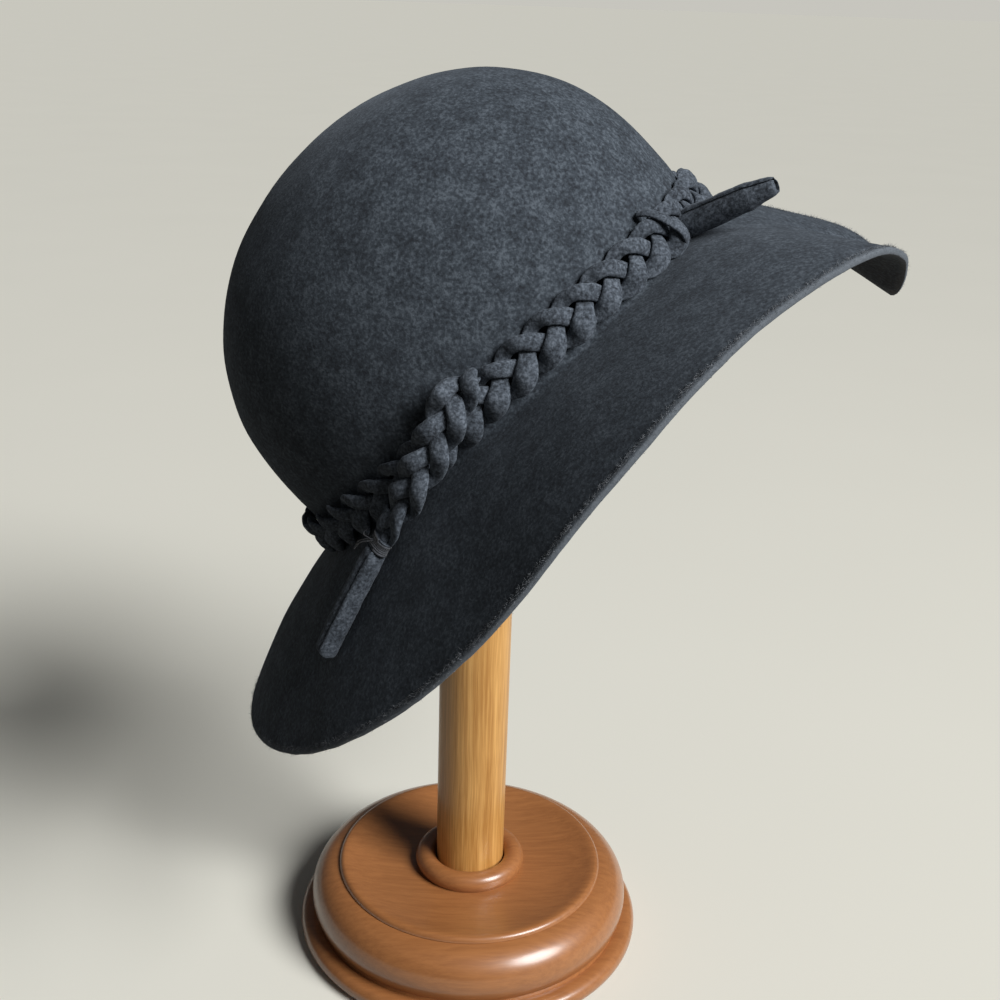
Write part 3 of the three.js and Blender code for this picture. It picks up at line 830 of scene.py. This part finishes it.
class FELTHAT_OT_binding(bpy.types.Operator):
    """Winds thread round the end of the tail and leaves its two ends loose"""
    bl_idname = "felt_hat.binding"
    bl_label = "Thread Binding"

    def execute(self, context):
        braid, rolls = context.scene.felt_hat_braid, context.scene.felt_hat_rolls
        line = tail_line()
        start = braid.tail_length + 0.3 * MM
        steps = 36
        t = np.linspace(0, 1, rolls.turns * steps + 1)
        slant = 0.06 * np.interp(t, np.linspace(0, 1, 2 * rolls.turns + 1),
                                 random_run(2 * rolls.turns + 1, 7))
        length = start + rolls.thread / 2 + np.clip(t + slant, 0, 1) * (
            rolls.binding_length - rolls.thread)
        middle, along, off = tail_frame(line, length)
        side = np.cross(off, along)
        angle = t * rolls.turns * 2 * math.pi + math.radians(60)
        pinch = 1 - 0.08 * np.sin(math.pi * t)
        across = 0.5 * (rolls.binding_width - rolls.thread) * pinch
        high = 0.5 * (rolls.binding_height - rolls.thread) * pinch
        centre = (middle + side * (across * np.cos(angle))[:, None]
                  + off * (high * np.sin(angle))[:, None])
        rows = strip_rows(centre, centre - middle, rolls.thread, rolls.thread, sides=8)
        winding = surface(rows)

        inner = np.linspace(start, start + rolls.binding_length, 24)
        middle, along, off = tail_frame(line, inner)
        pinch = 1 - 0.1 * np.sin(np.linspace(0, math.pi, 24))
        inset = 1.2 * rolls.thread
        rows = strip_rows(middle, off, (rolls.binding_width - inset) * pinch,
                          (rolls.binding_height - inset) * pinch, sides=48, rough=0.12 * MM, seed=50)
        strip_piece(rows, "tail_end_strips")

        middle, along, off = tail_frame(line, np.array([start + 0.5 * rolls.binding_length]))
        side = np.cross(off, along)[0]
        knot = middle[0] + off[0] * rolls.binding_height / 2
        ends = []
        for path in THREAD_ENDS:
            loose = Line([knot + (side * a + along[0] * b + off[0] * c) * MM for a, b, c in path], 10)
            count = 8 * len(path)
            lay = loose.at(np.linspace(0, loose.length, count))
            rows = strip_rows(lay, np.tile(off[0], (count, 1)), 0.5 * rolls.thread,
                              0.5 * rolls.thread, sides=6)
            ends.append(surface(rows))
        only(winding)
        for end in ends:
            end.select_set(True)
        bpy.ops.object.join()
        finish_piece(winding, "tail_winding", material_for("cotton_thread"),
                     nodes=("tail_binding",))
        return {"FINISHED"}


def rolled_rows(middle, off, along, width, height, wall, turns, start, seed):
    """Sections of a strip rolled on itself: a spiral wall whose outer edge lies at a start angle,
    with rounded edges and slightly ragged ends."""
    side = np.cross(off, along)
    angle = np.linspace(0, turns * 2 * math.pi, 64)
    sunk = 1.1 * wall * angle / (2 * math.pi)
    place = np.arange(len(width))
    soft = np.maximum(0, 1 - np.minimum(place, place[::-1]) / 3.0)[:, None] ** 2 * 0.35 * wall

    def path(depth):
        across = (width[:, None] / 2 - sunk - depth) * np.cos(start - angle)
        rise = (height[:, None] / 2 - sunk - depth) * np.sin(start - angle)
        return middle[:, None] + side[:, None] * across[..., None] + off[:, None] * rise[..., None]

    outer, inner = path(soft), path(wall - soft)
    thick = (0.45 * wall - soft)[..., None]
    first = 0.5 * (outer[:, :1] + inner[:, :1]) + unit(outer[:, :1] - outer[:, 1:2]) * thick
    last = 0.5 * (outer[:, -1:] + inner[:, -1:]) + unit(outer[:, -1:] - outer[:, -2:-1]) * thick
    rows = np.concatenate([outer, last, inner[:, ::-1], first], axis=1)
    lumps = 0.3 * MM * soft_noise(rows, 5 * MM, seed) + 0.12 * MM * soft_noise(rows, 1.6 * MM, seed)
    rows = rows + unit(rows - middle[:, None]) * lumps[..., None]
    ragged = np.minimum(1, np.maximum(0, 1 - place[::-1] / 4))[:, None] * 0.7 * MM
    return rows + along[:, None] * (ragged * soft_noise(rows, 2.5 * MM, seed + 2))[..., None]


class FELTHAT_OT_wrap(bpy.types.Operator):
    """Wraps a strip over the band where the front roll leaves it"""
    bl_idname = "felt_hat.wrap"
    bl_label = "Band Wrap"

    def execute(self, context):
        braid, count = context.scene.felt_hat_braid, 60
        line = Line([crown_foot(np.float64(azimuth), share * band_face() + beyond * MM)
                     + np.array([0, 0, braid.band_height + above * MM])
                     for azimuth, share, beyond, above in WRAP_WAY])
        lay = line.at(np.linspace(0, line.length, count))
        azimuth = np.degrees(np.arctan2(lay[:, 1], lay[:, 0]))
        off = unit(crown_foot(azimuth, 1.0) - crown_foot(azimuth))
        full = np.sin(np.linspace(0, math.pi, count))
        rows = strip_rows(lay, off, braid.band_width * (0.55 + 0.08 * full),
                          braid.band_thickness * (0.9 + 0.5 * full), rough=0.28 * MM, seed=40)
        strip_piece(rows, "band_wrap")
        return {"FINISHED"}


class FELTHAT_OT_rolls(bpy.types.Operator):
    """Rolls the two strip ends: one down the rear brim and one pointing out at the front"""
    bl_idname = "felt_hat.rolls"
    bl_label = "Rolled Ends"

    def execute(self, context):
        braid, rolls = context.scene.felt_hat_braid, context.scene.felt_hat_rolls
        line = tail_line()
        start = braid.tail_length + rolls.binding_length + 0.6 * MM
        length = np.linspace(start, line.length, 60)
        middle, along, off = tail_frame(line, length)
        ease = np.clip((length - start) / (8 * MM), 0, 1)
        rows = rolled_rows(middle, off, along, rolls.rear_width * (0.92 + 0.08 * ease),
                           rolls.rear_height * (0.95 + 0.05 * ease), rolls.wall, 1.5,
                           math.radians(44), 60.0)
        strip_piece(rows, "rear_rolled_strip", ("rear_roll",), smooth=70)

        azimuth, droop = math.degrees(rolls.front_azimuth), rolls.front_droop
        heading = rolls.front_heading
        ahead = np.array([math.cos(droop) * math.cos(heading), math.cos(droop) * math.sin(heading),
                          -math.sin(droop)])
        root = crown_foot(np.float64(azimuth), band_face() + 0.9 * MM)
        root = root + np.array([0, 0, rolls.front_height])
        sections, tip = 44, 1.04
        share = np.linspace(-0.2, tip, sections)
        middle = root + ahead * (share * rolls.front_length)[:, None]
        side = np.array([math.sin(heading), -math.cos(heading), 0.0])
        off = np.tile(np.cross(side, ahead), (sections, 1))
        if off[0, 2] < 0:
            off = -off
        full = np.interp(share, (0, 0.7, tip), (1, 0.78, 0))
        width = rolls.front_end + (rolls.front_root_width - rolls.front_end) * full
        height = rolls.front_end + (rolls.front_root_height - rolls.front_end) * full
        rows = rolled_rows(middle, off, np.tile(ahead, (sections, 1)), width, height,
                           rolls.front_wall, 1.05, math.radians(105), 70.0)
        strip_piece(rows, "front_rolled_strip", ("front_roll",), smooth=70)
        return {"FINISHED"}


def fibre_mesh(name, roots, ways, lengths, thickness, seed):
    """A mesh of single fibres: each a thin three-sided spike, bent on its way to its tip."""
    rng = np.random.default_rng(seed)
    bend = unit(rng.normal(size=roots.shape)) * 0.55
    first = unit(np.cross(ways, rng.normal(size=roots.shape)))
    second = np.cross(unit(ways), first)
    corners, sizes = [], (1.0, 0.9, 0.6)
    for step, size in enumerate(sizes):
        t = step / len(sizes)
        centre = roots + (ways * t + bend * t * t) * lengths[:, None]
        for turn in range(3):
            a = 2 * math.pi * turn / 3
            spoke = first * math.cos(a) + second * math.sin(a)
            corners.append(centre + spoke * size * thickness / 2)
    corners.append(roots + (ways + bend) * lengths[:, None])
    points = np.stack(corners, 1)
    faces = [(2, 1, 0)]
    for step in range(len(sizes) - 1):
        for turn in range(3):
            a, b = 3 * step + turn, 3 * step + (turn + 1) % 3
            faces.append((a, b, b + 3, a + 3))
    tip = 3 * len(sizes)
    faces += [(tip - 3 + turn, tip - 3 + (turn + 1) % 3, tip) for turn in range(3)]
    count = points.shape[1]
    mesh = bpy.data.meshes.new(name)
    every = [tuple(v + count * i for v in face) for i in range(len(roots)) for face in faces]
    mesh.from_pydata(points.reshape(-1, 3).tolist(), [], every)
    made = bpy.data.objects.new(name, mesh)
    bpy.context.scene.collection.objects.link(made)
    return made


class FELTHAT_OT_fibres(bpy.types.Operator):
    """Lets single wool fibres stand off the raw-cut brim edge"""
    bl_idname = "felt_hat.fibres"
    bl_label = "Loose Fibres"

    def execute(self, context):
        _, rows, off = felt_grid()
        rng = np.random.default_rng(5)
        count, around = 9500, rows.shape[1]
        place = rng.uniform(0, around, count)
        i = place.astype(int)
        t = (place - i)[:, None]
        step = np.linalg.norm(rows[-1, i] - rows[-2, i], axis=1)
        back = rng.uniform(0, 1, count) ** 1.5 * 2.4 * MM
        edge, next_in, n = ((1 - t) * grid[i] + t * grid[(i + 1) % around]
                            for grid in (rows[-1], rows[-2], off[-1]))
        here = edge + (next_in - edge) * (back / step)[:, None]
        outward = unit(edge - next_in)
        along = np.cross(n, outward)
        edge_zone = 0.5 * MM
        felt = context.scene.felt_hat_felt
        depth = np.where(back < edge_zone, rng.uniform(0, 1, count) * felt.thickness, 0.0)
        here = here - n * depth[:, None] + outward * (edge_zone * (depth > 0))[:, None]
        ways = unit(outward * rng.uniform(-0.3, 0.8, count)[:, None]
                    + along * rng.uniform(-1.3, 1.3, count)[:, None]
                    + n * rng.uniform(0.15, 0.7, count)[:, None])
        lengths = rng.uniform(0.5, 1.7, count) * MM
        made = fibre_mesh("loose_edge_fibres", in_world(here), as_worn(ways), lengths, 0.11 * MM, 6)
        finish_piece(made, "loose_edge_fibres", material_for("loose_wool_fibres"))
        return {"FINISHED"}


class FELTHAT_OT_stand(bpy.types.Operator):
    """Turns the stand's base, post and head"""
    bl_idname = "felt_hat.stand"
    bl_label = "Turned Stand"

    def execute(self, context):
        s = context.scene.felt_hat_stand
        hole = s.post / 2 + FIT_GAP
        rise = s.bead_top - s.foot_height
        rim_round, half_foot = 2.5 * MM, s.foot_height / 2
        collar_round = (s.collar - hole) / 2
        profile = [(1 * MM, 0), (s.foot - 3 * MM, 0)]
        profile += arc(s.foot - half_foot, half_foot, half_foot, half_foot, -60, 80, 12)
        profile += [(s.groove + 1.2 * MM, s.foot_height), (s.groove, s.foot_height - 0.4 * MM)]
        profile += arc(s.bead - s.bead_width, s.foot_height + 0.4 * rise, s.bead_width, 0.6 * rise,
                       -35, 84, 28)
        profile += [(s.rim + rim_round, s.bead_top + 0.2 * MM)]
        profile += arc(s.rim, s.rim_height - rim_round, rim_round, rim_round, 20, 90, 8)
        inner, outer = s.collar + 1 * MM, s.rim - 1 * MM
        profile += [(outer + (inner - outer) * t, s.dish + (s.rim_height - s.dish) * (1 - t) ** 2.2)
                    for t in np.linspace(0.02, 1, 18)]
        profile += arc(hole + collar_round, s.dish + s.collar_height - collar_round, collar_round,
                       collar_round, -40, 180, 16)
        profile += [(hole, s.socket), (1 * MM, s.socket)]
        base = turned_piece(profile, sides=160)
        finish_piece(base, "turned_base", material_for("varnished_beech_base"),
                     nodes=("stand_base",), smooth=35)

        bottom, lip, chamfer = s.height - s.head_height, 2 * MM, 1 * MM
        low, high = s.socket + FIT_GAP, bottom + s.head_socket - FIT_GAP
        post = turned_piece([(s.post / 2 - chamfer, low), (s.post / 2, low + chamfer),
                             (s.post / 2, high - chamfer), (s.post / 2 - chamfer, high)], sides=96)
        finish_piece(post, "round_post", material_for("varnished_oak_post"),
                     nodes=("stand_post",), smooth=30)

        ceiling = bottom + s.head_socket
        profile = [(1 * MM, ceiling), (hole, ceiling), (hole, bottom),
                   (s.head - 3 * MM, bottom)]
        profile += arc(0, bottom + lip, s.head, s.head_height - lip, 0, 88, 24)
        head = turned_piece(profile, sides=96)
        finish_piece(head, "turned_head", material_for("varnished_beech_base"),
                     nodes=("stand_top",), smooth=35)
        return {"FINISHED"}


class FELTHAT_OT_stage(bpy.types.Operator):
    """Sets the camera, the soft light and the pale floor"""
    bl_idname = "felt_hat.stage"
    bl_label = "Camera, Light and Floor"

    def execute(self, context):
        scene, stage = context.scene, context.scene.felt_hat_stage
        camera = bpy.data.objects.new("camera", bpy.data.cameras.new("camera"))
        scene.collection.objects.link(camera)
        scene.camera = camera
        camera.data.lens, camera.data.sensor_width = stage.lens, 36
        camera.data.sensor_fit = "HORIZONTAL"
        camera.data.clip_start, camera.data.clip_end = 0.01, 500
        p, b, h = stage.pitch, stage.bank, stage.heading
        ahead = Vector((math.sin(h) * math.cos(p), math.cos(h) * math.cos(p), -math.sin(p)))
        right = Vector((math.cos(h), -math.sin(h), 0))
        up = right.cross(ahead)
        right, up = math.cos(b) * right + math.sin(b) * up, math.cos(b) * up - math.sin(b) * right
        camera.matrix_world = Matrix.Translation(stage.camera) @ Matrix(
            (right, up, -ahead)).transposed().to_4x4()

        bpy.ops.object.select_all(action="DESELECT")
        bpy.ops.mesh.primitive_circle_add(vertices=128, radius=150, fill_type="NGON",
                                          location=(0, 0, -0.3 * MM))
        floor = context.object
        bpy.ops.object.transform_apply(location=True, rotation=False, scale=False)
        floor.name = "floor"
        floor.data.materials.append(material_for("painted_floor"))

        world = bpy.data.worlds.new("studio")
        world.use_nodes = True
        tree = world.node_tree
        tree.nodes.clear()
        ambient = add_node(tree, "ShaderNodeBackground", {
            "Color": (0.90, 0.95, 1.0, 1.0), "Strength": stage.fill})
        backdrop = add_node(tree, "ShaderNodeBackground", {
            "Color": (0.57, 0.56, 0.515, 1.0), "Strength": 1.0})
        seen = add_node(tree, "ShaderNodeLightPath").outputs["Is Camera Ray"]
        both = add_node(tree, "ShaderNodeMixShader", {
            0: seen, 1: ambient.outputs[0], 2: backdrop.outputs[0]})
        add_node(tree, "ShaderNodeOutputWorld", {"Surface": both.outputs[0]})
        scene.world = world

        toward = Vector(stage.key_from).normalized()
        facing = toward.to_track_quat("Z", "Y").to_matrix().to_4x4()
        for name, kind, energy, size in (("far_key", "SUN", stage.key, stage.key_size),
                                         ("near_key", "AREA", stage.near_watts, 0.6)):
            light = bpy.data.lights.new(name, kind)
            light.energy = energy
            if kind == "SUN":
                light.angle = size
            else:
                light.shape, light.size = "SQUARE", size
            light.color = (0.97, 0.99, 1.0)
            lamp = bpy.data.objects.new(name, light)
            scene.collection.objects.link(lamp)
            lamp.matrix_world = Matrix.Translation(toward * 1.6 + Vector((0, 0, 0.2))) @ facing
        scene.view_settings.view_transform = "Standard"
        return {"FINISHED"}


class FELTHAT_PT_panel(bpy.types.Panel):
    """Lists the steps that make the hat and its stand"""
    bl_label = "Felt Hat"
    bl_idname = "FELTHAT_PT_panel"
    bl_space_type = "VIEW_3D"
    bl_region_type = "UI"
    bl_category = "Felt Hat"

    def draw(self, context):
        for step in STEPS:
            self.layout.operator(step.bl_idname)
        for name, _ in GROUPS:
            box = self.layout.box()
            group = getattr(context.scene, name)
            for key in group.__annotations__:
                box.prop(group, key)


STEPS = (FELTHAT_OT_stage, FELTHAT_OT_felt, FELTHAT_OT_band, FELTHAT_OT_tail, FELTHAT_OT_binding,
         FELTHAT_OT_wrap, FELTHAT_OT_rolls, FELTHAT_OT_fibres, FELTHAT_OT_stand)
GROUPS = (("felt_hat_felt", FeltHatFelt), ("felt_hat_braid", FeltHatBraid),
          ("felt_hat_rolls", FeltHatRolls), ("felt_hat_stand", FeltHatStand),
          ("felt_hat_colours", FeltHatColours), ("felt_hat_stage", FeltHatStage))


def register():
    for name, group in GROUPS:
        bpy.utils.register_class(group)
        setattr(bpy.types.Scene, name, PointerProperty(type=group))
    for part in (*STEPS, FELTHAT_PT_panel):
        bpy.utils.register_class(part)


def unregister():
    for part in (FELTHAT_PT_panel, *reversed(STEPS)):
        bpy.utils.unregister_class(part)
    for name, group in reversed(GROUPS):
        delattr(bpy.types.Scene, name)
        bpy.utils.unregister_class(group)


def main():
    register()
    bpy.ops.felt_hat.stage()
    bpy.ops.felt_hat.felt()
    bpy.ops.felt_hat.band()
    bpy.ops.felt_hat.tail()
    bpy.ops.felt_hat.binding()
    bpy.ops.felt_hat.wrap()
    bpy.ops.felt_hat.rolls()
    bpy.ops.felt_hat.fibres()
    bpy.ops.felt_hat.stand()


if __name__ == "__main__":
    main()
